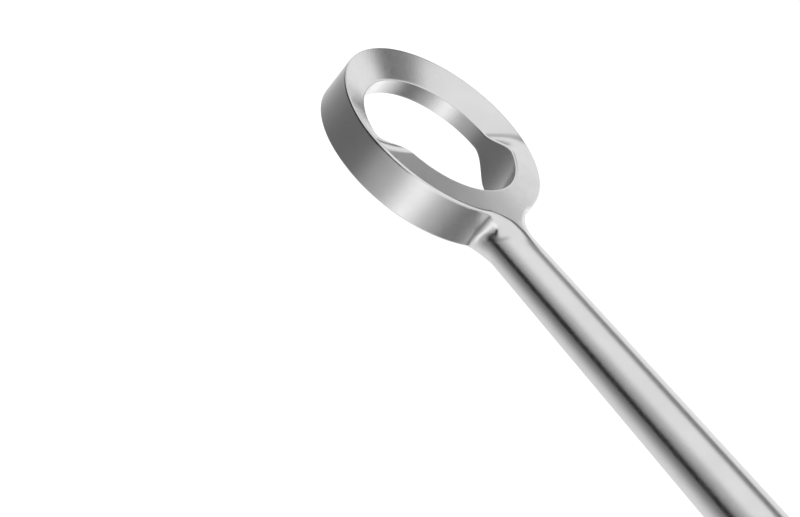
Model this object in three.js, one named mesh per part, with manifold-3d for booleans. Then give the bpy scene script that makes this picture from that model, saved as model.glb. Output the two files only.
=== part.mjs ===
// Inoculating loop: a solid steel eye on a tapered shank, clamped in a collet chuck on a
// rod with a heat-insulating grip. Millimetres, +Z up. The tool lies along X with the eye
// at the -X end; the origin is on the bench, midway along the tool.
import * as THREE from "three";
import { mergeVertices } from "three/addons/utils/BufferGeometryUtils.js";
import Module from "manifold-3d";

const wasm = await Module();
wasm.setup();

// ---- Driving dimensions. A station is a distance along the tool from the eye's far edge. ----
const LENGTH = 235;
const AXIS_Z = 5; // height of the tool's axis above the bench
const SIDES = 32; // facets round a turned piece
const SLIDING_GAP = 0.06; // radial clearance of a sliding or turning fit
const FACE_GAP = 0.1; // clearance between faces that rest on each other

// Loop: eye, shank and tang are one piece of steel.
const EYE_BORE_R = 2.0;
const EYE_R = 2.75;
const EYE_HEIGHT = 1.056; // at the outer edge
const EYE_CROWN = 0.075; // each face of the near half is this much higher at the bore
const EYE_EDGE = 0.05; // chamfer on the eye's outer edges
const EYE_LIP_HEIGHT = 0.3; // height left at the bore in the bevelled far half
const EYE_SIDES = 72;
const RUN_OUT_AT = 0.55; // the bevels end this far behind the eye's centre
const RUN_OUT_LEAN = THREE.MathUtils.degToRad(63);
const EYE_TILT_DEG = 2.5; // the eye's far edge is raised a little
const EYE_RISE = 0.215; // the eye's centre lies this far above the shank's axis
const NECK_R = 0.547;
const NECK_FLARE = 0.12; // extra radius where the neck meets the eye
const NECK_FLARE_LENGTH = 0.7;
const SHANK_TAPER = 0.0187; // growth in radius for each millimetre of length
const SHANK_END = 49;
const TANG_R = 1.0;
const TANG_END = 70;

// Collet chuck.
const COLLET_FRONT = SHANK_END + 0.5;
const COLLET_END = 64.5;
const COLLET_NOSE_R = 1.95;
const COLLET_HEAD_R = 2.5;
const COLLET_GROOVE = 0.4; // depth of the groove that snaps into the nut
const COLLET_TAIL_R = 1.9;
const SLITS = 4;
const SLIT_WIDTH = 0.4;
const SLIT_END = 60.5;
const NUT_FRONT = 50.2;
const NUT_END = 65;
const NUT_R = 4.5;
const THREAD_R = 3.5;
const THREAD_GAP = 0.08;
const CHUCK_FRONT = 54.6;
const HEX_START = 65.4;
const HEX_END = 70.4;
const HEX_HALF_FLATS = AXIS_Z; // the tool rests on one flat of the hexagon
const CHUCK_END = 80;
const CHUCK_TAIL_R = 3.4;
const CHUCK_END_R = 2.9;

// Rod and cross pins.
const ROD_R = 2.0;
const ROD_START = 71.8;
const ROD_END = 232.4;
const PIN_R = 0.6;
const CHUCK_PIN_AT = 75.5;
const CHUCK_PIN_LENGTH = 6.2;
const FERRULE_PIN_AT = 128;
const FERRULE_PIN_LENGTH = 8.9;

// Grip and tail.
const FERRULE_START = 122;
const FERRULE_END = 131;
const FERRULE_R = 4.5;
const SPIGOT_R = 2.9; // spigots centre the grip and its two seals
const SPIGOT_END = 134.6;
const SEAL_SECTION_R = 0.55;
const SEAL_R = SPIGOT_R + FACE_GAP + SEAL_SECTION_R; // radius of the seal's centre line
const GRIP_START = 132.3;
const GRIP_END = 225;
const GRIP_FRONT_R = 4.3;
const GRIP_TAIL_R = AXIS_Z; // the grip's tail rests on the bench too
const GRIP_BORE_R = 3.0;
const CODE_RING_START = 137;
const CODE_RING_END = 140;
const CODE_RING_INNER_R = 3.8;
const RIBS = 9;
const RIBS_START = 143;
const RIB_PITCH = 3;
const RIB_CREST_R = 4.45;
const RIB_DEPTH = 0.4;
const BUSH_LENGTH = 10;
const WASHER_START = 226.4;
const WASHER_END = 227.2;
const WASHER_R = 4.1;
const WASHER_DISH = 0.25;
const CAP_START = 227.3;
const CAP_R = 4.5;
const CAP_ROUND = 2.4;
const CAP_BORE_END = 233;

// ---- Materials ----
function finish(color, roughness, metalness) {
  return new THREE.MeshStandardMaterial({ color, roughness, metalness });
}

const steel = () => finish(0xc9cbcd, 0.22, 1.0);
const springSteel = () => finish(0x9a9da1, 0.35, 1.0);
const nickelPlate = () => finish(0xc6c3ba, 0.28, 1.0);
const phenolic = () => finish(0x17181a, 0.55, 0.0);
const silicone = () => finish(0xb3402a, 0.6, 0.0);
const ptfe = () => finish(0xe9e8e2, 0.5, 0.0);
const codeBlue = () => finish(0x1f5fa8, 0.45, 0.0);

// ---- Solids ----

// A closed geometry as a manifold-3d solid whose faces point out.
function solid(geometry) {
  const bare = geometry.clone();
  bare.deleteAttribute("normal");
  bare.deleteAttribute("uv");
  const merged = mergeVertices(bare, 1e-4);
  const vertProperties = merged.attributes.position.array;
  const triVerts = new Uint32Array(merged.index.array);
  const made = new wasm.Manifold(new wasm.Mesh({ numProp: 3, vertProperties, triVerts }));
  if (made.volume() > 0) return made;
  for (let i = 0; i < triVerts.length; i += 3) {
    [triVerts[i + 1], triVerts[i + 2]] = [triVerts[i + 2], triVerts[i + 1]];
  }
  return new wasm.Manifold(new wasm.Mesh({ numProp: 3, vertProperties, triVerts }));
}

// A solid as the named mesh of one sub-part.
function part(name, body, material) {
  const { vertProperties, triVerts } = body.getMesh();
  const geometry = new THREE.BufferGeometry();
  geometry.setAttribute("position", new THREE.BufferAttribute(vertProperties, 3));
  geometry.setIndex(new THREE.BufferAttribute(triVerts, 1));
  const mesh = new THREE.Mesh(geometry, material);
  mesh.name = name;
  return mesh;
}

// A piece turned about the tool's axis, from the [station, radius] points round its section.
function turned(points) {
  const profile = points.map(([station, radius]) => new THREE.Vector2(radius, station));
  profile.push(profile[0].clone());
  const geometry = new THREE.LatheGeometry(profile, SIDES);
  geometry.rotateZ(-Math.PI / 2);
  geometry.translate(-LENGTH / 2, 0, AXIS_Z);
  return solid(geometry);
}

// A piece of the eye turned about the Z axis, from the [radius, height] points of its section.
function turnedUpright(points) {
  const profile = points.map(([radius, height]) => new THREE.Vector2(radius, height));
  profile.push(profile[0].clone());
  return solid(new THREE.LatheGeometry(profile, EYE_SIDES).rotateX(Math.PI / 2));
}

// A round bar across the tool, along Y.
function crossBar(station, radius, length) {
  const geometry = new THREE.CylinderGeometry(radius, radius, length, 16);
  geometry.translate(station - LENGTH / 2, 0, AXIS_Z);
  return solid(geometry);
}

// Points on an arc about [station, radius], from angle a to angle b in degrees.
function arc(station, radius, size, a, b, steps) {
  return Array.from({ length: steps + 1 }, (_, i) => {
    const angle = THREE.MathUtils.degToRad(a + ((b - a) * i) / steps);
    return [station + size * Math.cos(angle), radius + size * Math.sin(angle)];
  });
}

// ---- The loop ----

// The eye about its own centre: a thick band, slightly crowned towards the bore, whose far
// half is bevelled above and below down to a thin lip.
function eye() {
  const half = EYE_HEIGHT / 2;
  const band = turnedUpright([
    [EYE_BORE_R, -half - EYE_CROWN],
    [EYE_R - EYE_EDGE, -half],
    [EYE_R, -half + EYE_EDGE],
    [EYE_R, half - EYE_EDGE],
    [EYE_R - EYE_EDGE, half],
    [EYE_BORE_R, half + EYE_CROWN],
  ]);
  return band.subtract(eyeBevel(1)).subtract(eyeBevel(-1));
}

// What the bevel takes off above (side 1) or below (side -1) the eye's far half.
function eyeBevel(side) {
  const half = EYE_HEIGHT / 2;
  const lip = EYE_LIP_HEIGHT / 2;
  const slope = (half - lip) / (EYE_R - EYE_BORE_R);
  const cone = turnedUpright([
    [0, side * (lip - slope * EYE_BORE_R)],
    [EYE_R + 1, side * (half + slope)],
    [0, side * (half + slope)],
  ]);
  const farHalf = new THREE.BoxGeometry(20, 20, 20);
  farHalf.translate(-10, 0, 0);
  farHalf.rotateY(side * RUN_OUT_LEAN);
  farHalf.translate(RUN_OUT_AT, 0, side * half);
  return cone.intersect(solid(farHalf));
}

function loop() {
  const tilt = THREE.MathUtils.degToRad(EYE_TILT_DEG);
  const overhang = (EYE_HEIGHT / 2 - EYE_EDGE) * Math.sin(tilt);
  const eyeAt = EYE_R * Math.cos(tilt) + overhang;
  const neck = eyeAt + EYE_R;
  const shankEndR = NECK_R + SHANK_TAPER * (SHANK_END - neck);
  const shank = turned([
    [eyeAt + EYE_BORE_R + 0.15, 0],
    [eyeAt + EYE_BORE_R + 0.15, NECK_R],
    [neck - 0.15, NECK_R + NECK_FLARE],
    [neck + NECK_FLARE_LENGTH / 3, NECK_R + NECK_FLARE / 3],
    [neck + NECK_FLARE_LENGTH, NECK_R + SHANK_TAPER * NECK_FLARE_LENGTH],
    [SHANK_END, shankEndR],
    [SHANK_END + 0.2, shankEndR - 0.2],
    [SHANK_END + 0.4, TANG_R],
    [TANG_END - 0.4, TANG_R],
    [TANG_END, TANG_R - 0.3],
    [TANG_END, 0],
  ]);
  const placedEye = eye()
    .rotate([0, EYE_TILT_DEG, 0])
    .translate([eyeAt - LENGTH / 2, 0, AXIS_Z + EYE_RISE]);
  return part("loop", shank.add(placedEye), steel());
}

// ---- The chuck ----

// Slit nose piece that closes on the tang when the nut drives its two tapers together.
function collet() {
  const boreR = TANG_R + SLIDING_GAP;
  let body = turned([
    [COLLET_FRONT, boreR],
    [COLLET_FRONT, COLLET_NOSE_R - 0.2],
    [COLLET_FRONT + 0.2, COLLET_NOSE_R],
    [NUT_FRONT + 0.4, COLLET_NOSE_R],
    [NUT_FRONT + 1.6, COLLET_HEAD_R],
    [NUT_FRONT + 2.2, COLLET_HEAD_R],
    [NUT_FRONT + 2.4, COLLET_HEAD_R - COLLET_GROOVE],
    [NUT_FRONT + 3.2, COLLET_HEAD_R - COLLET_GROOVE],
    [NUT_FRONT + 3.4, COLLET_HEAD_R],
    [CHUCK_FRONT, COLLET_HEAD_R],
    [COLLET_END, COLLET_TAIL_R],
    [COLLET_END, boreR],
  ]);
  const slitLength = SLIT_END - COLLET_FRONT + 1;
  for (let i = 0; i < SLITS / 2; i += 1) {
    const slit = new THREE.BoxGeometry(slitLength, SLIT_WIDTH, 2 * COLLET_HEAD_R + 1);
    slit.rotateX(Math.PI / 4 + (i * 2 * Math.PI) / SLITS);
    slit.translate(SLIT_END - slitLength / 2 - LENGTH / 2, 0, AXIS_Z);
    body = body.subtract(solid(slit));
  }
  return part("collet", body, springSteel());
}

function chuckNut() {
  const bore = THREAD_R + THREAD_GAP;
  const body = turned([
    [NUT_FRONT, COLLET_NOSE_R + FACE_GAP],
    [NUT_FRONT, 2.6],
    [NUT_FRONT + 0.2, 2.8],
    [NUT_FRONT + 4, NUT_R - 0.25],
    [NUT_FRONT + 4.4, NUT_R],
    [NUT_END - 0.5, NUT_R],
    [NUT_END, NUT_R - 0.35],
    [NUT_END, bore],
    [CHUCK_FRONT - 0.3, bore],
    [CHUCK_FRONT - 0.3, COLLET_HEAD_R + FACE_GAP],
    [NUT_FRONT + 1.5, COLLET_HEAD_R + FACE_GAP],
    [NUT_FRONT + 0.3, COLLET_NOSE_R + FACE_GAP],
  ]);
  return part("chuck_nut", body, nickelPlate());
}

// Threaded nose for the nut, hexagon that keeps the tool from rolling, and socket for the rod.
function chuckBody() {
  const cornerR = HEX_HALF_FLATS / Math.cos(Math.PI / 6);
  const outside = turned([
    [CHUCK_FRONT, 0],
    [CHUCK_FRONT, THREAD_R - 0.35],
    [CHUCK_FRONT + 0.35, THREAD_R],
    [HEX_START, THREAD_R],
    [HEX_START, HEX_HALF_FLATS - 0.1],
    [HEX_START + 0.5, cornerR + 0.1],
    [HEX_END - 0.5, cornerR + 0.1],
    [HEX_END, HEX_HALF_FLATS - 0.1],
    [HEX_END, CHUCK_TAIL_R + 0.4],
    [HEX_END + 0.8, CHUCK_TAIL_R],
    [CHUCK_END - 0.5, CHUCK_END_R],
    [CHUCK_END, CHUCK_END_R - 0.4],
    [CHUCK_END, 0],
  ]);
  const hexBar = new THREE.CylinderGeometry(cornerR, cornerR, 60, 6);
  hexBar.rotateY(Math.PI / 6);
  hexBar.rotateZ(Math.PI / 2);
  hexBar.translate(HEX_START - LENGTH / 2, 0, AXIS_Z);
  const bore = turned([
    [CHUCK_FRONT - 1, 0],
    [CHUCK_FRONT - 1, COLLET_HEAD_R + FACE_GAP],
    [CHUCK_FRONT, COLLET_HEAD_R + FACE_GAP],
    [COLLET_END + FACE_GAP, COLLET_TAIL_R + FACE_GAP],
    [COLLET_END + FACE_GAP, TANG_R + 0.5],
    [ROD_START - FACE_GAP, TANG_R + 0.5],
    [ROD_START - FACE_GAP, ROD_R + SLIDING_GAP],
    [CHUCK_END + 1, ROD_R + SLIDING_GAP],
    [CHUCK_END + 1, 0],
  ]);
  const body = outside
    .intersect(solid(hexBar))
    .subtract(bore)
    .subtract(crossBar(CHUCK_PIN_AT, PIN_R + SLIDING_GAP, 20));
  return part("chuck_body", body, nickelPlate());
}

// ---- Rod and cross pins ----

function rod() {
  const body = turned([
    [ROD_START, 0],
    [ROD_START, ROD_R - 0.2],
    [ROD_START + 0.2, ROD_R],
    [ROD_END - 0.4, ROD_R],
    [ROD_END, ROD_R - 0.4],
    [ROD_END, 0],
  ])
    .subtract(crossBar(CHUCK_PIN_AT, PIN_R + SLIDING_GAP, 20))
    .subtract(crossBar(FERRULE_PIN_AT, PIN_R + SLIDING_GAP, 20));
  return part("rod", body, steel());
}

function pin(name, station, length) {
  return part(name, crossBar(station, PIN_R, length), springSteel());
}

// ---- Grip ----

function frontFerrule() {
  const body = turned([
    [FERRULE_START, ROD_R + SLIDING_GAP],
    [FERRULE_START, 2.5],
    [FERRULE_START + 0.3, 2.7],
    [FERRULE_START + 1.6, 3.25],
    [FERRULE_START + 3.2, 3.85],
    [FERRULE_START + 4.6, FERRULE_R - 0.15],
    [FERRULE_START + 5.2, FERRULE_R],
    [FERRULE_END - 0.3, FERRULE_R],
    [FERRULE_END, FERRULE_R - 0.3],
    [FERRULE_END, SPIGOT_R],
    [SPIGOT_END, SPIGOT_R],
    [SPIGOT_END, ROD_R + SLIDING_GAP],
  ]).subtract(crossBar(FERRULE_PIN_AT, PIN_R + SLIDING_GAP, 20));
  return part("front_ferrule", body, nickelPlate());
}

function seal(name, station) {
  const section = arc(station, SEAL_R, SEAL_SECTION_R, 0, 360, 10).slice(0, -1);
  return part(name, turned(section), silicone());
}

// Heat-insulating grip: a groove for the size band, a ringed finger zone, a slim waist and a
// swollen tail.
function grip() {
  const ribs = [];
  for (let i = 0; i < RIBS; i += 1) {
    const start = RIBS_START + i * RIB_PITCH;
    ribs.push([start, RIB_CREST_R]);
    ribs.push([start + 0.4, RIB_CREST_R - RIB_DEPTH]);
    ribs.push([start + 0.9, RIB_CREST_R - RIB_DEPTH]);
    ribs.push([start + 1.3, RIB_CREST_R]);
  }
  const body = turned([
    [GRIP_START, GRIP_BORE_R],
    [GRIP_START, GRIP_FRONT_R - 0.4],
    [GRIP_START + 0.4, GRIP_FRONT_R],
    [CODE_RING_START - FACE_GAP, GRIP_FRONT_R + 0.1],
    [CODE_RING_START - FACE_GAP, CODE_RING_INNER_R],
    [CODE_RING_END + FACE_GAP, CODE_RING_INNER_R],
    [CODE_RING_END + FACE_GAP, RIB_CREST_R],
    ...ribs,
    [RIBS_START + RIBS * RIB_PITCH + 4, GRIP_FRONT_R + 0.05],
    [182, GRIP_FRONT_R],
    [196, GRIP_FRONT_R + 0.2],
    [207, GRIP_TAIL_R - 0.15],
    [214, GRIP_TAIL_R],
    [GRIP_END - 4, GRIP_TAIL_R],
    [GRIP_END - 1.4, GRIP_TAIL_R - 0.25],
    [GRIP_END - 0.3, GRIP_TAIL_R - 0.8],
    [GRIP_END, GRIP_TAIL_R - 1.1],
    [GRIP_END, GRIP_BORE_R],
  ]);
  return part("grip", body, phenolic());
}

function codeRing() {
  const body = turned([
    [CODE_RING_START, CODE_RING_INNER_R + SLIDING_GAP],
    [CODE_RING_START, GRIP_FRONT_R + 0.15],
    [CODE_RING_START + 0.3, GRIP_FRONT_R + 0.3],
    [CODE_RING_END - 0.3, GRIP_FRONT_R + 0.3],
    [CODE_RING_END, GRIP_FRONT_R + 0.15],
    [CODE_RING_END, CODE_RING_INNER_R + SLIDING_GAP],
  ]);
  return part("code_ring", body, codeBlue());
}

// Keeps the grip clear of the rod, so that heat has only a short way in.
function bush(name, start, outerR) {
  const body = turned([
    [start, ROD_R + SLIDING_GAP],
    [start, outerR],
    [start + BUSH_LENGTH, outerR],
    [start + BUSH_LENGTH, ROD_R + SLIDING_GAP],
  ]);
  return part(name, body, ptfe());
}

// ---- Tail ----

function springWasher() {
  const body = turned([
    [WASHER_START + WASHER_DISH, ROD_R + FACE_GAP],
    [WASHER_START, WASHER_R],
    [WASHER_END - WASHER_DISH, WASHER_R],
    [WASHER_END, ROD_R + FACE_GAP],
  ]);
  return part("spring_washer", body, springSteel());
}

function endNut() {
  const bore = ROD_R + THREAD_GAP;
  const body = turned([
    [CAP_START, bore],
    [CAP_START, CAP_R - 0.3],
    [CAP_START + 0.3, CAP_R],
    ...arc(LENGTH - CAP_ROUND, CAP_R - CAP_ROUND, CAP_ROUND, 90, 0, 6),
    [LENGTH, 0],
    [CAP_BORE_END, 0],
    [CAP_BORE_END, bore],
  ]);
  return part("end_nut", body, nickelPlate());
}

// ---- Assembly ----
const rearBushStart = WASHER_START - FACE_GAP - BUSH_LENGTH;

const tool = new THREE.Group();
tool.add(
  loop(),
  collet(),
  chuckNut(),
  chuckBody(),
  pin("chuck_pin", CHUCK_PIN_AT, CHUCK_PIN_LENGTH),
  rod(),
  frontFerrule(),
  pin("ferrule_pin", FERRULE_PIN_AT, FERRULE_PIN_LENGTH),
  seal("front_seal", (FERRULE_END + GRIP_START) / 2),
  grip(),
  codeRing(),
  bush("front_bush", SPIGOT_END + FACE_GAP, SPIGOT_R),
  bush("rear_bush", rearBushStart, SPIGOT_R),
  seal("rear_seal", (GRIP_END + WASHER_START) / 2),
  springWasher(),
  endNut(),
);

export default tool;
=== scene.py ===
import math

import bmesh
import bpy
import numpy as np
from mathutils import Matrix, Vector


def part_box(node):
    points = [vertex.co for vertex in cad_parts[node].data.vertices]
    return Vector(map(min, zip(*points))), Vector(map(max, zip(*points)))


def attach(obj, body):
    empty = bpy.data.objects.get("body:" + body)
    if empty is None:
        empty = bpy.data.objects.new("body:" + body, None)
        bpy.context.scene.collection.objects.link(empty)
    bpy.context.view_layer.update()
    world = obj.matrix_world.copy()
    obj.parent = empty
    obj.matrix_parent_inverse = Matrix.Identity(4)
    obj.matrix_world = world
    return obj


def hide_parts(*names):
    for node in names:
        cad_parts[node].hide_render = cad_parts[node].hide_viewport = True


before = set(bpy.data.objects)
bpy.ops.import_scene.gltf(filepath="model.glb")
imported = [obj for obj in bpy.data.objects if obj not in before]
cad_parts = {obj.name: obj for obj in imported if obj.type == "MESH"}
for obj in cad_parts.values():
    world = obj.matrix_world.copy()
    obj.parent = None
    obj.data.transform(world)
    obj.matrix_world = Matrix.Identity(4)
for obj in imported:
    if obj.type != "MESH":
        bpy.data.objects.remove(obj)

MM = 0.001
SHARP_ANGLE = math.radians(35)
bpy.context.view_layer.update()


# ---- Places taken from the frame -------------------------------------------------------------

def span(node):
    """Lowest and highest corner of a node, in millimetres."""
    low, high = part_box(node)
    return np.array(low) / MM, np.array(high) / MM


def span_middle(node):
    low, high = span(node)
    return (low + high) / 2


def reach(node):
    """Front, back and outer radius of a turned node, in millimetres."""
    low, high = span(node)
    return low[0], high[0], (high[1] - low[1]) / 2


LOOP_LOW, LOOP_HIGH = span("loop")
ROD_LOW, ROD_HIGH = span("rod")
AXIS_Z = (ROD_LOW[2] + ROD_HIGH[2]) / 2
ROD_R = (ROD_HIGH[2] - ROD_LOW[2]) / 2
ROD_CLEARANCE = 0.06

# The eye, about its own centre.
EYE_R = (LOOP_HIGH[1] - LOOP_LOW[1]) / 2
BORE_R = 2.0
EYE_HALF = 0.557  # half the eye's height at its outer edge
EYE_TILT = math.radians(2.5)
EYE_RISE = 0.215  # height of the eye's centre above the shank's axis
EYE_AT = EYE_R * math.cos(EYE_TILT) + EYE_HALF * math.sin(EYE_TILT)
EYE_CENTRE = np.array([LOOP_LOW[0] + EYE_AT, 0.0, AXIS_Z + EYE_RISE])
NECK_R = 0.554
TAPER = 0.0187


# ---- Camera ----------------------------------------------------------------------------------

def make_camera():
    """A long lens above the left front of the eye, turned about its own line of sight."""
    azimuth = math.radians(-63.23)
    elevation = math.radians(27.42)
    roll = math.radians(36.18)
    distance = 105.8
    aim = Vector(EYE_CENTRE + np.array([1.398, -0.619, -2.278])) * MM
    back = Vector((
        math.cos(azimuth) * math.cos(elevation),
        math.sin(azimuth) * math.cos(elevation),
        math.sin(elevation),
    ))
    level_right = Vector((0, 0, 1)).cross(back).normalized()
    right = Matrix.Rotation(roll, 3, back) @ level_right
    up = back.cross(right)
    turn = Matrix((right, up, back)).transposed()
    data = bpy.data.cameras.new("camera")
    data.sensor_width = 36
    data.lens = 202.5
    data.clip_start = 0.005
    data.clip_end = 10
    camera = bpy.data.objects.new("camera", data)
    camera.matrix_world = Matrix.Translation(aim + back * distance * MM) @ turn.to_4x4()
    bpy.context.scene.collection.objects.link(camera)
    bpy.context.scene.camera = camera


# ---- Meshes ----------------------------------------------------------------------------------

def make_piece(node, points, faces, material, body, normals=None):
    """The fine form of a CAD node, from points in millimetres, riding on a body."""
    name = node + "_form"
    mesh = bpy.data.meshes.new(name)
    mesh.from_pydata((np.asarray(points) * MM).tolist(), [], faces)
    face_outwards(mesh)
    mesh.shade_smooth()
    mesh.materials.append(material)
    if normals is None:
        mesh.set_sharp_from_angle(angle=SHARP_ANGLE)
    else:
        mesh.normals_split_custom_set_from_vertices(normals.tolist())
    piece = bpy.data.objects.new(name, mesh)
    bpy.context.scene.collection.objects.link(piece)
    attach(piece, body)
    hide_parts(node)
    return piece


def face_outwards(mesh):
    shape = bmesh.new()
    shape.from_mesh(mesh)
    bmesh.ops.recalc_face_normals(shape, faces=shape.faces)
    shape.to_mesh(mesh)
    shape.free()


def grid_faces(rows, columns, start=0):
    """Quads between rows of points, each row a closed ring of columns points."""
    faces = []
    for i in range(rows - 1):
        for j in range(columns):
            k = (j + 1) % columns
            a = start + i * columns
            b = a + columns
            faces.append((a + j, a + k, b + k, b + j))
    return faces


ARC_STEPS = 4


def rounded(corners, closed=True):
    """Points (x, radius) along an outline of corners (x, radius, size of the round)."""
    points = []
    count = len(corners)
    for i, (x, r, size) in enumerate(corners):
        at_end = not closed and i in (0, count - 1)
        if size == 0 or at_end:
            points.append((x, r))
            continue
        ends = []
        for x2, r2, _ in (corners[i - 1], corners[(i + 1) % count]):
            length = math.hypot(x2 - x, r2 - r)
            part = min(size, 0.45 * length) / max(length, 1e-9)
            ends.append((x + (x2 - x) * part, r + (r2 - r) * part))
        (xa, ra), (xb, rb) = ends
        for step in range(ARC_STEPS + 1):
            t = step / ARC_STEPS
            u = 1 - t
            points.append((
                u * u * xa + 2 * u * t * x + t * t * xb,
                u * u * ra + 2 * u * t * r + t * t * rb,
            ))
    return points


AXIS_R = 0.05  # an outline comes this close to the axis, but doesn't reach it


def turned(node, outline_at, columns, material, body, closed=True, across=False):
    """A piece turned about the tool's axis, or about Y if it lies across the tool.

    outline_at gives the points (x, radius) round the piece's section at an angle. An outline
    that isn't closed starts and ends at AXIS_R from the axis, and its two ends are capped.
    """
    angles = [2 * math.pi * j / columns for j in range(columns)]
    outlines = np.array([outline_at(angle) for angle in angles])
    along = outlines[:, :, 0].T
    radius = outlines[:, :, 1].T
    side = radius * np.cos(angles)
    up = radius * np.sin(angles) + AXIS_Z
    if across:
        x = side + span_middle(node)[0]
        points = np.stack([x, along, up], axis=2)
    else:
        points = np.stack([along, side, up], axis=2)
    rows = len(points)
    faces = grid_faces(rows, columns)
    last = (rows - 1) * columns
    if closed:
        faces += [
            (last + j, last + (j + 1) % columns, (j + 1) % columns, j) for j in range(columns)
        ]
    else:
        faces.append(tuple(range(columns)))
        faces.append(tuple(range(last, last + columns)))
    return make_piece(node, points.reshape(-1, 3), faces, material, body)


def cut(piece, cutters):
    """Takes closed cutter meshes, given as (points in millimetres, faces), out of a piece."""
    for points, faces in cutters:
        mesh = bpy.data.meshes.new("cutter")
        mesh.from_pydata((np.asarray(points) * MM).tolist(), [], faces)
        face_outwards(mesh)
        cutter = bpy.data.objects.new("cutter", mesh)
        bpy.context.scene.collection.objects.link(cutter)
        step = piece.modifiers.new("cut", "BOOLEAN")
        step.operation = "DIFFERENCE"
        step.solver = "EXACT"
        step.object = cutter
        view = bpy.context.evaluated_depsgraph_get()
        shaped = bpy.data.meshes.new_from_object(piece.evaluated_get(view))
        piece.modifiers.remove(step)
        bpy.data.objects.remove(cutter)
        bpy.data.meshes.remove(mesh)
        before = piece.data
        piece.data = shaped
        bpy.data.meshes.remove(before)
    piece.data.shade_smooth()
    piece.data.set_sharp_from_angle(angle=SHARP_ANGLE)


PIN_HOLE_R = 0.62
PIN_HOLE_FLARE = 0.6  # growth in radius for each millimetre past the straight stretch


def pin_hole(x, straight):
    """A round cutter along Y at x, straight so far each side and flaring past that."""
    count = 32
    end = 9
    wide = PIN_HOLE_R + PIN_HOLE_FLARE * (end - straight)
    rings = [(-end, wide), (-straight, PIN_HOLE_R), (straight, PIN_HOLE_R), (end, wide)]
    points = []
    for y, size in rings:
        for j in range(count):
            a = 2 * math.pi * j / count
            points.append((x + size * math.cos(a), y, AXIS_Z + size * math.sin(a)))
    faces = grid_faces(len(rings), count)
    faces.append(tuple(range(count)))
    faces.append(tuple(range(3 * count, 4 * count)))
    return points, faces


def slab(low_x, high_x, width, angle):
    """A cutter lying along the axis, as wide as a slit and turned about the axis."""
    c, s = math.cos(angle), math.sin(angle)
    half = width / 2
    far = 4
    points = []
    for x in (low_x, high_x):
        for v, w in ((-half, -far), (half, -far), (half, far), (-half, far)):
            points.append((x, c * v - s * w, AXIS_Z + s * v + c * w))
    faces = [(0, 1, 2, 3), (4, 5, 6, 7), (0, 1, 5, 4), (1, 2, 6, 5), (2, 3, 7, 6), (3, 0, 4, 7)]
    return points, faces


# ---- The loop --------------------------------------------------------------------------------

# Pairs of values are for above and below. The eye's near half falls a little towards its edge,
# and its far half is bevelled towards the bore. The bevels run out over a length that grows
# inwards. The wall leans in at its upper edge. Under the face, a web as wide as the shank
# joins the eye's wall to the shank, and sinks into it.
CROWN = np.tan(np.radians([4.2, 8.1]))
BEVEL = np.tan(np.radians([26.1, 22.2]))
RUN_OUT_START = np.array([0.85, 0.77])  # behind the eye's centre
RUN_OUT_TURN = 0.06  # how much further back for each millimetre to the far side
RUN_OUT_LEAD = 0.15  # how much less far back at the eye's edge than at the bore
RUN_OUT_EDGE = np.array([0.6, 0.6])
RUN_OUT_BORE = np.array([1.12, 0.97])
EDGE_ROUND = np.array([0.036, 0.035])
EDGE_DRAFT = math.radians(13)  # the wall's lean
EDGE_DRAFT_START = 0.488  # height above the eye's middle where the wall starts to lean
EDGE_DRAFT_BLEND = 0.008
WEB_START = BORE_R + 0.2  # behind the eye's centre
WEB_START_ROUND = 0.3
WEB_LENGTH = 0.9  # behind the eye's edge
WEB_SINK = 0.25
SHANK_BLEND = 0.08  # round between the eye and the shank
SHANK_BLEND_GROWTH = 0.3  # how much larger that round is under the neck
NECK_FILLET = 0.24
NECK_ROUND = 0.4
NECK_START = 2.5  # the upper edge's round grows from here, behind the eye's centre, to the neck's
NECK_LENGTH = 0.55


def smooth_step(t):
    t = np.clip(t, 0, 1)
    return t * t * (3 - 2 * t)


def soft_min(a, b, size):
    """The smaller of two values, passing smoothly from one to the other."""
    gap = np.maximum(size - np.abs(a - b), 0)
    return np.minimum(a, b) - gap * gap / (4 * size)


def rounded_max(a, b, size):
    """The larger of two distances, with a round of the given size where they meet."""
    u = np.maximum(a + size, 0)
    v = np.maximum(b + size, 0)
    return np.minimum(np.maximum(a, b), -size) + np.hypot(u, v)


def filleted_min(a, b, size):
    """The smaller of two distances, with a fillet of the given size where they meet."""
    u = np.maximum(size - a, 0)
    v = np.maximum(size - b, 0)
    return np.maximum(np.minimum(a, b), size) - np.hypot(u, v)


def to_eye(p):
    """Points relative to the eye's centre, turned from the tool's frame into the eye's."""
    x, y, z = p.T
    c, s = math.cos(EYE_TILT), math.sin(EYE_TILT)
    return np.stack([c * x - s * z, y, s * x + c * z], axis=1)


def from_eye(p):
    x, y, z = p.T
    c, s = math.cos(EYE_TILT), math.sin(EYE_TILT)
    return np.stack([c * x + s * z, y, -s * x + c * z], axis=1)


def bore_round(x):
    """Round of the bore's edges, sharp in the bevelled far half and soft in the near half."""
    return 0.018 + 0.035 * smooth_step((x + 0.2) / 0.9)


def face_slope(x, y, r, side):
    """Rise of a face from the eye's edge towards the bore; side is 0 above and 1 below."""
    inwards = np.clip((EYE_R - r) / (EYE_R - BORE_R), 0, 1.2)
    length = RUN_OUT_EDGE[side] + (RUN_OUT_BORE - RUN_OUT_EDGE)[side] * inwards
    start = RUN_OUT_START[side] + RUN_OUT_TURN * y - RUN_OUT_LEAD * (1 - inwards)
    bevelled = smooth_step((start - x) / length)
    return CROWN[side] - (CROWN + BEVEL)[side] * bevelled


def face_height(x, y, r, side):
    """Height of the eye's upper face, or depth of its lower one, at x behind its centre."""
    return EYE_HALF + (EYE_R - r) * face_slope(x, y, r, side)


def shank_radius(x):
    """The shank's radius at x behind the eye's centre."""
    return NECK_R + TAPER * (x - EYE_R)


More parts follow.
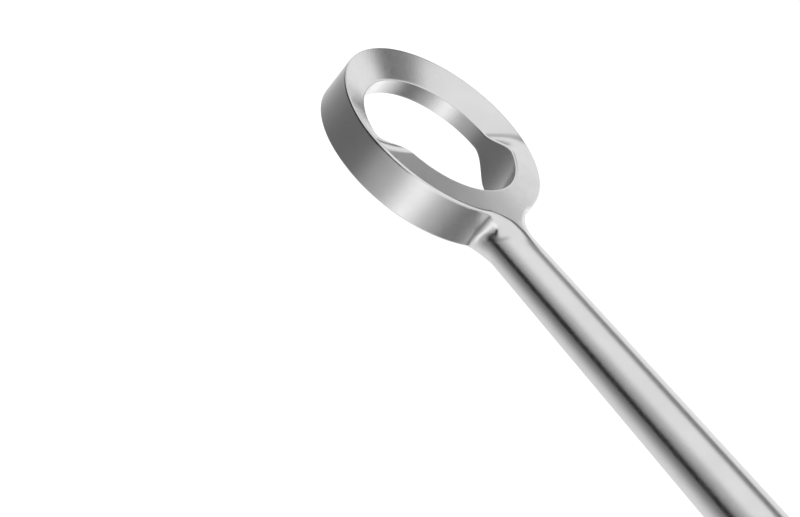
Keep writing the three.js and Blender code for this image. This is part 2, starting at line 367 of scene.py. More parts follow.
def loop_field(p):
    """Zero on the loop's surface, near the eye: about the distance outside it in millimetres."""
    x, y, z = to_eye(p).T
    r = np.hypot(x, y)
    side = (z < 0).astype(int)
    slope = face_slope(x, y, r, side)
    face = (np.abs(z) - EYE_HALF - (EYE_R - r) * slope) / np.sqrt(1 + slope ** 2)
    draft = (r - EYE_R) * math.cos(EDGE_DRAFT) + (z - EDGE_DRAFT_START) * math.sin(EDGE_DRAFT)
    wall = -soft_min(EYE_R - r, -draft, EDGE_DRAFT_BLEND)

    near = 1 - smooth_step((p[:, 0] - EYE_R) / WEB_LENGTH)
    up = p[:, 2] + EYE_RISE
    low = smooth_step((0.2 - up) / 0.8)
    radius = shank_radius(p[:, 0])
    start = WEB_START - p[:, 0]
    shank = rounded_max(np.hypot(p[:, 1], up) - radius, start, WEB_START_ROUND)
    # Below the axis the web is round like the shank, and above it stands straight up.
    web = np.hypot(p[:, 1], np.minimum(up, 0)) - radius + WEB_SINK * (1 - near)
    web = rounded_max(web, start, WEB_START_ROUND)

    sides = filleted_min(wall, web, NECK_FILLET)
    grown = smooth_step((x - NECK_START) / NECK_LENGTH) * (1 - side)
    band = rounded_max(face, sides, EDGE_ROUND[side] + (NECK_ROUND - EDGE_ROUND[side]) * grown)
    band = rounded_max(band, BORE_R - r, bore_round(x))
    return soft_min(band, shank, SHANK_BLEND + SHANK_BLEND_GROWTH * low * near)


def gradient(p):
    step = 1e-4
    parts = []
    for axis in range(3):
        shift = np.zeros(3)
        shift[axis] = step
        parts.append((loop_field(p + shift) - loop_field(p - shift)) / (2 * step))
    return np.stack(parts, axis=1)


def settle(p, steps=6):
    """Moves points onto the loop's surface."""
    for _ in range(steps):
        g = gradient(p)
        p = p - g * (loop_field(p) / (g * g).sum(axis=1))[:, None]
    return p


EYE_COLUMNS = 360
WALL, ROUND, FACE, BORE = 24, 6, 22, 14  # quads along each stretch of the eye's section
SECTION = WALL + 4 * ROUND + 2 * FACE + BORE
SECTION_ROUND = 0.06  # round of the section's outer corners, before its points settle
NECK_COLUMNS = 22  # columns each side of the neck that its opening takes
NECK_FACE = 9  # quads of each face that the opening takes
NECK_RINGS = 60  # from the opening to the shank's first plain ring
NECK_PASSES = 60  # of evening out those rings
NECK_END = EYE_R + 1.6  # the first plain ring, behind the eye's centre
SHANK_RINGS = 60
SHANK_END_ROUND = 0.12
TANG_LENGTH = 21
TANG_R = 1.0


def eye_section(angle):
    """Points round the eye's section, from the middle of the outer wall up and over."""
    c, s = math.cos(angle), math.sin(angle)
    upper_lip, lower_lip = face_height(BORE_R * c, BORE_R * s, BORE_R, np.array([0, 1]))
    top = EYE_HALF - SECTION_ROUND
    lip_round = bore_round(BORE_R * c)
    r, z = [], []

    def stretch(r0, z0, r1, z1, count):
        for i in range(count):
            r.append(r0 + (r1 - r0) * i / count)
            z.append(z0 + (z1 - z0) * i / count)

    def corner(rc, zc, size, start, count):
        for i in range(count):
            a = math.radians(start + 90 * i / count)
            r.append(rc + size * math.cos(a))
            z.append(zc + size * math.sin(a))

    outer, inner = EYE_R - SECTION_ROUND, BORE_R + lip_round
    stretch(EYE_R, -top, EYE_R, top, WALL)
    corner(outer, top, SECTION_ROUND, 0, ROUND)
    stretch(outer, EYE_HALF, inner, upper_lip, FACE)
    corner(inner, upper_lip - lip_round, lip_round, 90, ROUND)
    stretch(BORE_R, upper_lip - lip_round, BORE_R, lip_round - lower_lip, BORE)
    corner(inner, lip_round - lower_lip, lip_round, 180, ROUND)
    stretch(inner, -lower_lip, outer, -EYE_HALF, FACE)
    corner(outer, -top, SECTION_ROUND, 270, ROUND)
    return np.array([[q * c, q * s, h] for q, h in zip(r, z)])


def neck_rows():
    """Section indices of the opening, from its upper edge down the outer wall to its lower."""
    upper = [WALL + ROUND + NECK_FACE - i for i in range(WALL + ROUND + NECK_FACE + 1)]
    lower = [SECTION - i for i in range(1, ROUND + NECK_FACE + 1)]
    return upper + lower


def relax(rows, passes):
    """Evens out rows of rings between the first and last, staying on the surface."""
    for _ in range(passes):
        inner = rows[1:-1]
        around = np.roll(inner, 1, axis=1) + np.roll(inner, -1, axis=1)
        mean = (rows[:-2] + rows[2:] + around) / 4
        moved = (inner + mean) / 2
        shape = moved.shape
        rows[1:-1] = settle(moved.reshape(-1, 3), 2).reshape(shape)
    return rows


def neck_opening():
    """Where the neck leaves the eye: ids of the rim's points, once round, and the quads taken."""
    rows = neck_rows()
    columns = [c % EYE_COLUMNS for c in range(-NECK_COLUMNS, NECK_COLUMNS + 1)]
    taken = {(c, s % SECTION) for c in columns[:-1] for s in rows[1:]}
    # Along the upper edge, down, back and up.
    rim = [(c, rows[0]) for c in columns]
    rim += [(columns[-1], s) for s in rows[1:]]
    rim += [(c, rows[-1]) for c in reversed(columns[:-1])]
    rim += [(columns[0], s) for s in reversed(rows[1:-1])]
    return [c * SECTION + s % SECTION for c, s in rim], taken


def eye_faces(taken):
    """Quads of the eye's surface, without those that the neck's opening takes."""
    faces = []
    for c in range(EYE_COLUMNS):
        d = (c + 1) % EYE_COLUMNS
        for s in range(SECTION):
            t = (s + 1) % SECTION
            if (c, s) not in taken:
                faces.append(tuple(i * SECTION + j for i, j in ((c, s), (d, s), (d, t), (c, t))))
    return faces


def even_turns(rim_points):
    """Even angles round the shank, one for each point of the rim and close to that point's."""
    count = len(rim_points)
    turns = np.arctan2(rim_points[:, 2] + EYE_RISE, rim_points[:, 1])
    even = turns[0] - np.arange(count) * 2 * math.pi / count
    return even + np.angle(np.exp(1j * (turns - even))).mean()


def shank_ring(x, radius, turns):
    return np.stack([
        np.full(len(turns), x),
        radius * np.cos(turns),
        radius * np.sin(turns) - EYE_RISE,
    ], axis=1)


def neck_rings(rim_points, turns):
    """Rings of points from the opening's rim to the shank's first plain ring."""
    first = shank_ring(NECK_END, shank_radius(NECK_END), turns)
    apart = first - rim_points
    rings = np.array([rim_points + apart * i / NECK_RINGS for i in range(NECK_RINGS + 1)])
    shape = rings[1:-1].shape
    rings[1:-1] = settle(rings[1:-1].reshape(-1, 3)).reshape(shape)
    return relax(rings, NECK_PASSES)


def tail_outline(back):
    """Points (x, radius) along the rest of the shank, its shoulder and the tang."""
    end = back - TANG_LENGTH
    outline = []
    for i in range(1, SHANK_RINGS + 1):
        x = NECK_END + (end - SHANK_END_ROUND - NECK_END) * i / SHANK_RINGS
        outline.append((x, shank_radius(x)))
    radius = shank_radius(end)
    outline += [(end - 0.04, radius - 0.02), (end, radius - 0.1)]
    outline += [(end + 0.02, TANG_R + 0.1), (end + 0.1, TANG_R + 0.01), (end + 0.2, TANG_R)]
    outline += [(back - 0.5, TANG_R), (back - 0.4, TANG_R - 0.02)]
    outline += [(back - 0.03, TANG_R - 0.28), (back, TANG_R - 0.34)]
    outline += [(back, 0.4), (back, 0.1)]
    return outline


def build_loop(material):
    angles = [2 * math.pi * i / EYE_COLUMNS for i in range(EYE_COLUMNS)]
    eye = np.array([eye_section(a) for a in angles]).reshape(-1, 3)
    eye = settle(from_eye(eye))
    rim, taken = neck_opening()
    turns = even_turns(eye[rim])
    neck = neck_rings(eye[rim], turns)[1:]
    back = LOOP_HIGH[0] - EYE_CENTRE[0]
    tail = np.array([shank_ring(x, radius, turns) for x, radius in tail_outline(back)])
    tip = [[back, 0, -EYE_RISE]]
    points = np.concatenate([eye, neck.reshape(-1, 3), tail.reshape(-1, 3), tip])

    start = len(eye)
    count = len(rim)
    following = [(j + 1) % count for j in range(count)]
    rings = len(neck) + len(tail)
    last = start + (rings - 1) * count
    tip_id = len(points) - 1
    faces = eye_faces(taken)
    faces += [(rim[j], rim[k], start + k, start + j) for j, k in enumerate(following)]
    faces += grid_faces(rings, count, start)
    faces += [(last + j, last + k, tip_id) for j, k in enumerate(following)]

    normals = gradient(points)
    normals /= np.linalg.norm(normals, axis=1)[:, None]
    normals[start + len(neck) * count:] = 0  # past the neck Blender works them out
    return make_piece("loop", points + EYE_CENTRE, faces, material, "loop", normals)


# ---- Screw threads and knurls ----------------------------------------------------------------

CHUCK_PITCH = 0.75
CHUCK_THREAD_R = 3.5
CHUCK_THREAD_DEPTH = 0.42
TAIL_PITCH = 0.7
TAIL_THREAD_DEPTH = 0.36
THREAD_CLEARANCE = 0.05
ROWS_PER_PITCH = 9


def thread_depth(x, angle, pitch, depth):
    """How far a right-handed thread lies below its crest; the same helix inside and outside."""
    turn = (x / pitch - angle / (2 * math.pi)) % 1
    from_crest = abs(2 * turn - 1)
    return depth * min(max((from_crest - 0.14) / 0.7, 0), 1)


def threaded(x0, x1, angle, radius, pitch, depth, run_out=0.0):
    """Points (x, radius) along a thread, sunk to its root over the run-out at both ends."""
    count = int(abs(x1 - x0) / pitch * ROWS_PER_PITCH)
    points = []
    for i in range(count + 1):
        x = x0 + (x1 - x0) * i / count
        sunk = thread_depth(x, angle, pitch, depth)
        near_end = min(abs(x - x0), abs(x - x1))
        if near_end < run_out:
            sunk = max(sunk, depth * (1 - near_end / run_out))
        points.append((x, radius - sunk))
    return points


def knurled(x0, x1, angle, radius, depth, around, rows):
    """Points (x, radius) along a diamond knurl: two crossed sets of V grooves."""
    pitch = 2 * math.pi * radius / around
    points = []
    for i in range(rows + 1):
        x = x0 + (x1 - x0) * i / rows
        u = angle * around / (2 * math.pi)
        v = (x - x0) / pitch
        groove = max(abs(2 * ((u + v) % 1) - 1), abs(2 * ((u - v) % 1) - 1))
        points.append((x, radius - depth * min(max(groove - 0.22, 0) / 0.7, 1)))
    return points


# ---- The chuck -------------------------------------------------------------------------------

COLLET_BORE_R = 1.06
SLIT_WIDTH = 0.4
SLIT_LENGTH = 11
NUT_KNURLS = 36
CHUCK_KNURL_DEPTH = 0.24
TAIL_KNURL_DEPTH = 0.22
HEXAGON_CORNER_R = 5.72
HEXAGON_FACE_R = 4.86


def build_collet(material):
    front, back, head = reach("collet")
    nose = 1.95
    outline = rounded([
        (front, COLLET_BORE_R, 0.06),
        (front, nose, 0.18),
        (front + 1.1, nose, 0.1),
        (front + 2.3, head, 0.1),
        (front + 2.95, head, 0.05),
        (front + 3.1, head - 0.4, 0.05),
        (front + 3.9, head - 0.4, 0.05),
        (front + 4.05, head, 0.05),
        (front + 5.1, head, 0.2),
        (back, 1.9, 0.15),
        (back, COLLET_BORE_R, 0.1),
    ])
    collet = turned("collet", lambda angle: outline, 128, material, "collet")
    slit_end = front + SLIT_LENGTH
    slits = [slab(front - 1, slit_end, SLIT_WIDTH, math.radians(turn)) for turn in (45, 135)]
    cut(collet, slits)
    return collet


def build_chuck_nut(material):
    front, back, outer = reach("chuck_nut")
    bore = CHUCK_THREAD_R + THREAD_CLEARANCE
    cone = rounded([
        (front, 2.05, 0.05),
        (front, 2.8, 0.2),
        (front + 3.9, outer - 0.25, 0.3),
        (front + 4.4, outer, 0.12),
        (front + 5.0, outer, 0.06),
        (front + 5.12, outer - 0.22, 0.06),
        (front + 5.36, outer - 0.22, 0.06),
        (front + 5.5, outer - 0.02, 0.04),
    ], closed=False)
    mouth = rounded([
        (back - 1.2, outer - 0.02, 0.04),
        (back - 1.05, outer - 0.22, 0.06),
        (back - 0.8, outer - 0.22, 0.06),
        (back - 0.68, outer, 0.06),
        (back - 0.35, outer, 0.1),
        (back, outer - 0.35, 0.08),
        (back, bore + 0.12, 0.08),
        (back - 0.15, bore - 0.02, 0.02),
    ], closed=False)
    throat = rounded([
        (front + 4.5, bore, 0.02),
        (front + 4.1, bore, 0.08),
        (front + 4.1, 2.6, 0.05),
        (front + 1.5, 2.6, 0.1),
        (front + 0.3, 2.05, 0.05),
    ], closed=False)

    def outline_at(angle):
        knurl = knurled(
            front + 5.55, back - 1.25, angle, outer - 0.01, CHUCK_KNURL_DEPTH, NUT_KNURLS, 80
        )
        inside = threaded(back - 0.2, front + 4.6, angle, bore, CHUCK_PITCH, CHUCK_THREAD_DEPTH)
        return cone + knurl + mouth + inside + throat

    return turned("chuck_nut", outline_at, NUT_KNURLS * 8, material, "chuck_nut")


def build_chuck_body(material):
    front, back, _ = reach("chuck_body")
    half_flats = AXIS_Z  # the tool rests on a flat
    hex_front, hex_back = front + 10.8, front + 15.8
    thread_root = CHUCK_THREAD_R - CHUCK_THREAD_DEPTH
    socket = rounded([
        (back, ROD_R + 0.16, 0.1),
        (back - 0.15, ROD_R + ROD_CLEARANCE, 0.03),
        (back - 8.3, ROD_R + ROD_CLEARANCE, 0.05),
        (back - 8.3, 1.5, 0.1),
        (front + 10, 1.5, 0.1),
        (front + 10, 2.0, 0.1),
        (front, 2.6, 0.05),
    ], closed=False)

    def outline_at(angle):
        off_flat = angle % (math.pi / 3) - math.pi / 6
        side = min(half_flats / math.cos(off_flat), HEXAGON_CORNER_R)
        chamfer = 0.5 * (side - HEXAGON_FACE_R) / 0.9
        thread = threaded(
            front + 0.03, front + 10.1, angle, CHUCK_THREAD_R, CHUCK_PITCH, CHUCK_THREAD_DEPTH, 0.35
        )
        hexagon = rounded([
            (front + 10.15, thread_root, 0.02),
            (hex_front, thread_root, 0.15),
            (hex_front, HEXAGON_FACE_R, 0.04),
            (hex_front + chamfer, side, 0.05),
            (hex_back - chamfer, side, 0.05),
            (hex_back, HEXAGON_FACE_R, 0.04),
            (hex_back, 3.62, 0.18),
            (hex_back + 0.55, 3.4, 0.3),
            (back - 1.0, 2.93, 0.4),
            (back, 2.62, 0.2),
        ], closed=False)
        return thread + hexagon + socket

    body = turned("chuck_body", outline_at, 180, material, "handle")
    pin_x = span_middle("chuck_pin")[0]
    cut(body, [pin_hole(pin_x, 3.13)])
    return body


def build_pin(node, material):
    """A cross pin with slightly domed ends."""
    low, high = span(node)
    radius = (high[2] - low[2]) / 2
    outline = rounded([
        (low[1], AXIS_R, 0),
        (low[1], radius * 0.55, 0.1),
        (low[1] + 0.1, radius, 0.12),
        (high[1] - 0.1, radius, 0.12),
        (high[1], radius * 0.55, 0.1),
        (high[1], AXIS_R, 0),
    ], closed=False)
    return turned(node, lambda angle: outline, 48, material, "handle", closed=False, across=True)


# ---- The rod and its ends --------------------------------------------------------------------

def build_rod(material):
    front, back, radius = reach("rod")
    start = rounded([
        (front, AXIS_R, 0),
        (front, radius, 0.25),
        (front + 20, radius, 0),
        (front + 80, radius, 0),
        (front + 140, radius, 0),
        (back - 6.4, radius, 0.02),
        (back - 6.2, radius - 0.3, 0.05),
        (back - 5.9, radius - 0.3, 0),
    ], closed=False)
    end = [(back, radius - TAIL_THREAD_DEPTH - 0.04), (back, AXIS_R)]

    def outline_at(angle):
        thread = threaded(
            back - 5.85, back - 0.05, angle, radius, TAIL_PITCH, TAIL_THREAD_DEPTH, 0.3
        )
        return start + thread + end

    return turned("rod", outline_at, 96, material, "handle", closed=False)


DOME_R = 2.4
DOME_STEPS = 16


def build_end_nut(material):
    front, back, outer = reach("end_nut")
    bore = ROD_R + THREAD_CLEARANCE
    rim = rounded([
        (front, bore + 0.15, 0.05),
        (front, outer - 0.25, 0.12),
        (front + 0.28, outer, 0.1),
        (front + 0.7, outer, 0.05),
        (front + 0.8, outer - 0.2, 0.05),
        (front + 0.98, outer - 0.2, 0.05),
        (front + 1.08, outer - 0.02, 0.03),
    ], closed=False)
    shoulder = rounded([
        (front + 4.32, outer - 0.02, 0.03),
        (front + 4.42, outer - 0.2, 0.05),
        (front + 4.6, outer - 0.2, 0.05),
        (front + 4.7, outer, 0.05),
        (front + 5.0, outer, 0),
    ], closed=False)
    dome = []
    for i in range(1, DOME_STEPS + 1):
        turn = math.radians(88 * i / DOME_STEPS)
        dome.append((
            back - DOME_R + DOME_R * math.sin(turn),
            outer - DOME_R + DOME_R * math.cos(turn),
        ))
    crown = rounded([
        (back - 0.005, 1.9, 0),
        (back - 0.005, 1.45, 0.12),
        (back - 0.16, 1.2, 0.12),
        (back - 0.16, AXIS_R, 0),
    ], closed=False)
    # The outline passes from the crown to the hole's bottom along a pinhole on the axis.
    bottom = [(back - 2.0, AXIS_R), (back - 2.0, ROD_R - 0.35), (back - 2.3, ROD_R - 0.3)]

    def outline_at(angle):
        knurl = knurled(
            front + 1.12, front + 4.28, angle, outer - 0.01, TAIL_KNURL_DEPTH, NUT_KNURLS, 32
        )
        inside = threaded(back - 2.35, front + 0.2, angle, bore, TAIL_PITCH, TAIL_THREAD_DEPTH)
        return rim + knurl + shoulder + dome + crown + bottom + inside

    return turned("end_nut", outline_at, NUT_KNURLS * 8, material, "end_nut")


def build_spring_washer(material):
    front, back, outer = reach("spring_washer")
    dish = 0.25
    outline = rounded([
        (front + dish, ROD_R + 0.1, 0.08),
        (front, outer, 0.12),
        (back - dish, outer, 0.12),
        (back, ROD_R + 0.1, 0.08),
    ])
    return turned("spring_washer", lambda angle: outline, 128, material, "spring_washer")


# ---- The grip --------------------------------------------------------------------------------

def build_front_ferrule(material):
    front, back, outer = reach("front_ferrule")
    shoulder = front + 9
    outline = rounded([
        (front, ROD_R + ROD_CLEARANCE, 0.05),
        (front, 2.55, 0.12),
        (front + 0.5, 2.78, 0.3),
        (front + 2.4, 3.5, 0.8),
        (front + 4.6, outer - 0.12, 0.5),
        (front + 5.3, outer, 0.15),
        (front + 7.6, outer, 0.05),
        (front + 7.7, outer - 0.14, 0.05),
        (front + 7.95, outer - 0.14, 0.05),
        (front + 8.05, outer, 0.05),
        (shoulder, outer, 0.25),
        (shoulder, 2.9, 0.06),
        (back, 2.9, 0.12),
        (back, ROD_R + ROD_CLEARANCE, 0.05),
    ])
    ferrule = turned("front_ferrule", lambda angle: outline, 160, material, "handle")
    pin_x = span_middle("ferrule_pin")[0]
    cut(ferrule, [pin_hole(pin_x, 4.36)])
    return ferrule


SEAL_STEPS = 32
SEAL_FLASH = 0.012


def build_seal(node, material):
    """A seal of round section, with the thin flash line that moulding leaves."""
    low, high = span(node)
    x = (low[0] + high[0]) / 2
    section = (high[0] - low[0]) / 2
    middle = (high[1] - low[1]) / 2 - section
    outline = []
    for i in range(SEAL_STEPS):
        turn = 2 * math.pi * i / SEAL_STEPS
        size = section + (SEAL_FLASH if i == SEAL_STEPS // 4 else 0)
        outline.append((x + size * math.cos(turn), middle + size * math.sin(turn)))
    return turned(node, lambda angle: outline, 128, material, "handle")


RIBS = 9
RIB_PITCH = 3.0
RIBS_START = 10.7  # behind the grip's front


def build_grip(material):
    front, back, tail = reach("grip")
    neck, crest, root, groove, bore = 4.3, 4.45, 4.05, 3.8, 3.0
    ring_front, ring_back = front + 4.6, front + 7.8
    corners = [
        (front, bore, 0.1),
        (front, neck, 0.4),
        (ring_front, neck + 0.1, 0.08),
        (ring_front, groove, 0.05),
        (ring_back, groove, 0.05),
        (ring_back, crest, 0.1),
    ]
    for i in range(RIBS):
        start = front + RIBS_START + i * RIB_PITCH
        corners += [
            (start, crest, 0.14),
            (start + 0.4, root, 0.2),
            (start + 0.9, root, 0.2),
            (start + 1.3, crest, 0.14),
        ]
    corners += [
        (front + 41.7, neck + 0.05, 2.0),
        (front + 49.7, neck, 3.5),
        (front + 63.7, neck + 0.2, 5.0),
        (front + 74.7, tail - 0.15, 4.0),
        (front + 81.7, tail, 3.0),
        (back - 4, tail, 1.5),
        (back - 1.4, tail - 0.25, 0.8),
        (back - 0.3, tail - 0.8, 0.5),
        (back, tail - 1.15, 0.2),
        (back, bore, 0.15),
    ]
    outline = rounded(corners)
    return turned("grip", lambda angle: outline, 192, material, "handle")


def build_code_ring(material):
    front, back, outer = reach("code_ring")
    outline = rounded([
        (front, 3.86, 0.04),
        (front, outer - 0.08, 0.25),
        (front + 0.3, outer, 0.3),
        (front + 1.2, outer, 0.1),
        (front + 1.35, outer - 0.07, 0.1),
        (back - 1.35, outer - 0.07, 0.1),
        (back - 1.2, outer, 0.1),
        (back - 0.3, outer, 0.3),
        (back, outer - 0.08, 0.25),
        (back, 3.86, 0.04),
    ])
    return turned("code_ring", lambda angle: outline, 160, material, "handle")


def build_bush(node, material):
    front, back, outer = reach(node)
    outline = rounded([
        (front, ROD_R + ROD_CLEARANCE, 0.1),
        (front, outer, 0.25),
        (back, outer, 0.25),
        (back, ROD_R + ROD_CLEARANCE, 0.1),
    ])
    return turned(node, lambda angle: outline, 128, material, "handle")


# ---- Node trees ------------------------------------------------------------------------------

class Nodes:
    """Shorthand for building a node tree."""

    def __init__(self, tree):
        self.tree = tree

    def add(self, kind, inputs=None, **settings):
        node = self.tree.nodes.new(kind)
        for name, value in settings.items():
            setattr(node, name, value)
        for key, value in (inputs or {}).items():
            if isinstance(value, bpy.types.NodeSocket):
                self.tree.links.new(value, node.inputs[key])
            else:
                node.inputs[key].default_value = value
        return node

    def math(self, operation, a, b=0.0, clamp=False):
        inputs = {0: a, 1: b}
        return self.add("ShaderNodeMath", inputs, operation=operation, use_clamp=clamp).outputs[0]

    def fade(self, value, near, far, low=1.0, high=0.0):
        """Goes smoothly from low to high as value goes from near to far."""
        inputs = {"Value": value, "From Min": near, "From Max": far, "To Min": low, "To Max": high}
        node = self.add("ShaderNodeMapRange", inputs, interpolation_type="SMOOTHSTEP")
        return node.outputs["Result"]

    def noise(self, position, scale, detail=3.0, low=0.0, high=1.0):
        """Noise at a number of features for each millimetre, spread between low and high."""
        inputs = {"Vector": position, "Scale": scale, "Detail": detail}
        value = self.add("ShaderNodeTexNoise", inputs).outputs["Fac"]
        return self.fade(value, 0.3, 0.7, low, high)

    def blend(self, amount, a, b):
        """A colour between a and b."""
        node = self.add("ShaderNodeMix", {0: amount}, data_type="RGBA")
        node.inputs[6].default_value = (*a, 1)
        node.inputs[7].default_value = (*b, 1)
        return node.outputs[2]

    def bump(self, height, depth, below=None):
        """A surface roughened by a height between 0 and 1, over a depth in millimetres."""
        inputs = {"Strength": 1.0, "Distance": depth * MM, "Height": height}
        if below is not None:
            inputs["Normal"] = below
        return self.add("ShaderNodeBump", inputs).outputs["Normal"]


# ---- Materials -------------------------------------------------------------------------------

class Finish:
    """A new material with its shader and its positions on the piece, in millimetres."""

    def __init__(self, name, metallic=0.0, **uniform):
        self.material = bpy.data.materials.new(name)
        self.material.use_nodes = True
        self.nodes = Nodes(self.material.node_tree)
        self.shader = self.material.node_tree.nodes["Principled BSDF"]
        self.shader.inputs["Metallic"].default_value = metallic
        for socket, value in uniform.items():
            self.shader.inputs[socket.replace("_", " ")].default_value = value
        position = self.nodes.add("ShaderNodeTexCoord").outputs["Object"]
        self.position = self.stretched((1, 1, 1), position, 1 / MM)

    def stretched(self, scales, position=None, unit=1.0):
        """Positions scaled along each axis, so that noise on them is drawn out into a grain."""
        inputs = {0: position or self.position, 1: [scale * unit for scale in scales]}
        node = self.nodes.add("ShaderNodeVectorMath", inputs, operation="MULTIPLY")
        return node.outputs[0]

    def from_axis(self):
        """Distance along the tool and from its axis, for marks left by turning."""
        x, y, z = self.nodes.add("ShaderNodeSeparateXYZ", {0: self.position}).outputs
        n = self.nodes
        up = n.math("SUBTRACT", z, AXIS_Z)
        square = n.math("ADD", n.math("MULTIPLY", y, y), n.math("MULTIPLY", up, up))
        return n.add("ShaderNodeCombineXYZ", {0: x, 1: n.math("SQRT", square)}).outputs[0]

    def finish(self, color, roughness, normal):
        links = self.nodes.tree.links
        links.new(color, self.shader.inputs["Base Color"])
        links.new(roughness, self.shader.inputs["Roughness"])
        links.new(normal, self.shader.inputs["Normal"])
        return self.material


def satin_steel():
    """The loop's steel: tumbled to a fine even satin."""
    f = Finish("satin_steel", metallic=1.0)
    n = f.nodes
    cloud = n.noise(f.position, 1.3)
    grain = n.noise(f.position, 30.0)
    color = n.blend(cloud, (0.61, 0.61, 0.61), (0.64, 0.64, 0.64))
    roughness = n.noise(f.position, 9.0, low=0.15, high=0.2)
    normal = n.bump(grain, 0.0006)
    return f.finish(color, roughness, normal)


def drawn_steel():
    """The rod's steel: drawn and brushed lengthways."""
    f = Finish("drawn_steel", metallic=1.0, Anisotropic=0.35)
    n = f.nodes
    streaks = n.noise(f.stretched((0.35, 9, 9)), 1.0, detail=5.0)
    patches = n.noise(f.stretched((0.2, 1, 1)), 0.7)
    color = n.blend(patches, (0.52, 0.52, 0.53), (0.62, 0.62, 0.62))
    roughness = n.math("ADD", n.math("MULTIPLY", streaks, 0.12), 0.2)
    scratches = n.noise(f.stretched((1.4, 30, 30)), 1.0)
    normal = n.bump(scratches, 0.0012, n.bump(streaks, 0.0015))
    return f.finish(color, roughness, normal)


def spring_steel():
    """Ground spring steel, darker, with the grinding marks left round it."""
    f = Finish("spring_steel", metallic=1.0)
    n = f.nodes
    rings = n.noise(f.from_axis(), 22.0, detail=4.0)
    patches = n.noise(f.position, 1.1)
    color = n.blend(patches, (0.3, 0.31, 0.33), (0.38, 0.385, 0.4))
    roughness = n.math("ADD", n.math("MULTIPLY", rings, 0.14), 0.26)
    grain = n.noise(f.position, 26.0)
    normal = n.bump(grain, 0.0012, n.bump(rings, 0.002))
    return f.finish(color, roughness, normal)


def nickel_plate():
    """Nickel-plated brass: turning marks under the plate, and a dulled, handled top."""
    f = Finish("nickel_plate", metallic=1.0)
    n = f.nodes
    rings = n.noise(f.from_axis(), 14.0, detail=4.0)
    wear = n.noise(f.position, 0.6, detail=5.0)
    color = n.blend(wear, (0.53, 0.51, 0.465), (0.62, 0.605, 0.565))
    roughness = n.math("ADD", n.math("MULTIPLY", wear, 0.13), 0.2)
    specks = n.noise(f.position, 18.0)
    normal = n.bump(specks, 0.001, n.bump(rings, 0.0016))
    return f.finish(color, roughness, normal)


def phenolic():
    """Black moulded phenolic: faint mottle, fine orange peel and a mould line on each side."""
    f = Finish("phenolic", IOR=1.6)
    n = f.nodes
    mottle = n.noise(f.position, 2.2, detail=6.0)
    filler = n.noise(f.position, 11.0, low=-1.2, high=1.0)
    flecks = n.math("MAXIMUM", n.math("MULTIPLY", filler, mottle), 0.0)
    color = n.blend(flecks, (0.009, 0.009, 0.01), (0.03, 0.028, 0.027))
    roughness = n.noise(f.position, 1.4, detail=6.0, low=0.36, high=0.52)
    z = n.add("ShaderNodeSeparateXYZ", {0: f.position}).outputs[2]
    off_line = n.math("ABSOLUTE", n.math("SUBTRACT", z, AXIS_Z))
    line = n.fade(off_line, 0.02, 0.07)
    peel = n.noise(f.position, 6.0)
    normal = n.bump(line, 0.012, n.bump(peel, 0.003))
    return f.finish(color, roughness, normal)


def silicone():
    """Red-brown silicone rubber, dull, with dust in its pores."""
    f = Finish("silicone", IOR=1.42)
    n = f.nodes
    tone = n.noise(f.position, 1.8)
    color = n.blend(tone, (0.4, 0.042, 0.021), (0.5, 0.062, 0.032))
    roughness = n.noise(f.position, 5.0, low=0.5, high=0.68)
    pores = n.noise(f.position, 16.0)
    normal = n.bump(pores, 0.005)
    return f.finish(color, roughness, normal)


def ptfe():
    """White PTFE: waxy, with faint turning marks."""
    f = Finish("ptfe", IOR=1.35)
    n = f.nodes
    tone = n.noise(f.position, 0.9)
    color = n.blend(tone, (0.76, 0.75, 0.69), (0.83, 0.82, 0.78))
    roughness = n.noise(f.position, 3.0, low=0.38, high=0.5)
    rings = n.noise(f.from_axis(), 9.0)
    normal = n.bump(rings, 0.003)
    return f.finish(color, roughness, normal)


def code_colour():
    """Blue heat-resistant plastic, moulded, a little scuffed."""
    f = Finish("code_colour", IOR=1.5)
    n = f.nodes
    tone = n.noise(f.position, 1.6)
    color = n.blend(tone, (0.012, 0.1, 0.35), (0.018, 0.13, 0.43))
    scuffs = n.noise(f.stretched((6, 1, 1)), 2.5, detail=5.0)
    roughness = n.math("ADD", n.math("MULTIPLY", scuffs, 0.16), 0.34)
    peel = n.noise(f.position, 7.0)
    normal = n.bump(scuffs, 0.001, n.bump(peel, 0.003))
    return f.finish(color, roughness, normal)


# ---- Studio ----------------------------------------------------------------------------------

# Soft panels round the tool, seen only in reflections, in degrees. Each is centred at an
# azimuth and an elevation, spans so far each way, fades over its softness, and adds its light
# to the surround's. Those that take light away are black cards.
PANELS = [
    # azimuth, elevation, half spans, softness, light
    ((-123, -14), (3, 2), (32, 13), -0.82),
    ((-148, -29), (75, 23), (70, 37), -1.06),
    ((12, -27), (32, 12), (30, 6), -0.86),
    ((96, 46), (32, 13), (70, 7), -1.4),
    ((-155, -11), (50, 7), (20, 4), -0.7),
    ((-80, -3), (18, 9), (9, 5), -0.9),
    ((-49, -21), (11, 24), (18, 13), 0.6),
    ((61, -19), (33, 10), (12, 3), 0.35),
    ((-110, 14), (9, 28), (8, 20), -0.61),
]
SURROUND = 1.12
DARKEST = 0.03
FLOOR_LIGHT = 1.3


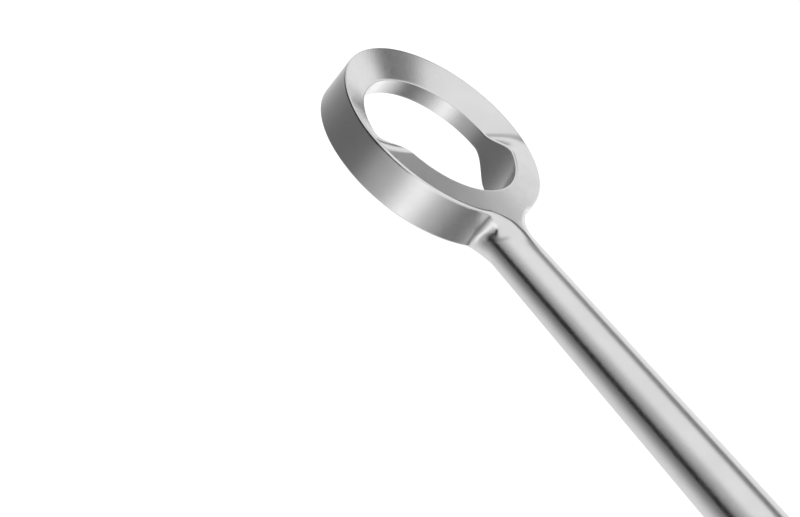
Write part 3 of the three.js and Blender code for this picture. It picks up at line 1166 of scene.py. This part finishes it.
def make_world():
    world = bpy.data.worlds.new("studio")
    world.use_nodes = True
    bpy.context.scene.world = world
    n = Nodes(world.node_tree)
    direction = n.add("ShaderNodeTexCoord").outputs["Generated"]
    x, y, z = n.add("ShaderNodeSeparateXYZ", {0: direction}).outputs
    azimuth = n.math("ARCTAN2", y, x)
    elevation = n.math("ARCSINE", z)
    light = SURROUND
    for centre, half, soft, amount in PANELS:
        centre, half, soft = (np.radians(v) for v in (centre, half, soft))
        aside = n.math("ARCCOSINE", n.math("COSINE", n.math("SUBTRACT", azimuth, centre[0])))
        above = n.math("ABSOLUTE", n.math("SUBTRACT", elevation, centre[1]))
        mask = n.math(
            "MULTIPLY",
            n.fade(aside, half[0] - soft[0], half[0] + soft[0]),
            n.fade(above, half[1] - soft[1], half[1] + soft[1]),
        )
        light = n.math("ADD", light, n.math("MULTIPLY", mask, amount))
    light = n.math("MAXIMUM", light, DARKEST)
    glossy = n.add("ShaderNodeLightPath").outputs["Is Glossy Ray"]
    above_floor = n.math("SUBTRACT", light, FLOOR_LIGHT)
    shown = n.math("ADD", n.math("MULTIPLY", above_floor, glossy), FLOOR_LIGHT)
    background = world.node_tree.nodes["Background"]
    world.node_tree.links.new(shown, background.inputs["Color"])


def make_floor():
    material = bpy.data.materials.new("pale_floor")
    material.use_nodes = True
    shader = material.node_tree.nodes["Principled BSDF"]
    shader.inputs["Base Color"].default_value = (0.9, 0.9, 0.9, 1)
    shader.inputs["Roughness"].default_value = 0.9
    mesh = bpy.data.meshes.new("floor")
    half = 4.0  # metres
    corners = [(-half, -half, 0), (half, -half, 0), (half, half, 0), (-half, half, 0)]
    mesh.from_pydata(corners, [], [(0, 1, 2, 3)])
    mesh.materials.append(material)
    floor = bpy.data.objects.new("floor", mesh)
    floor.visible_glossy = False
    bpy.context.scene.collection.objects.link(floor)


def build_tool():
    steel = satin_steel()
    ground = spring_steel()
    plated = nickel_plate()
    rubber = silicone()
    white = ptfe()
    build_loop(steel)
    build_collet(ground)
    build_chuck_nut(plated)
    build_chuck_body(plated)
    build_pin("chuck_pin", ground)
    build_rod(drawn_steel())
    build_front_ferrule(plated)
    build_pin("ferrule_pin", ground)
    build_seal("front_seal", rubber)
    build_grip(phenolic())
    build_code_ring(code_colour())
    build_bush("front_bush", white)
    build_bush("rear_bush", white)
    build_seal("rear_seal", rubber)
    build_spring_washer(ground)
    build_end_nut(plated)


make_camera()
make_world()
make_floor()
build_tool()

bpy.context.scene.view_settings.view_transform = "Standard"
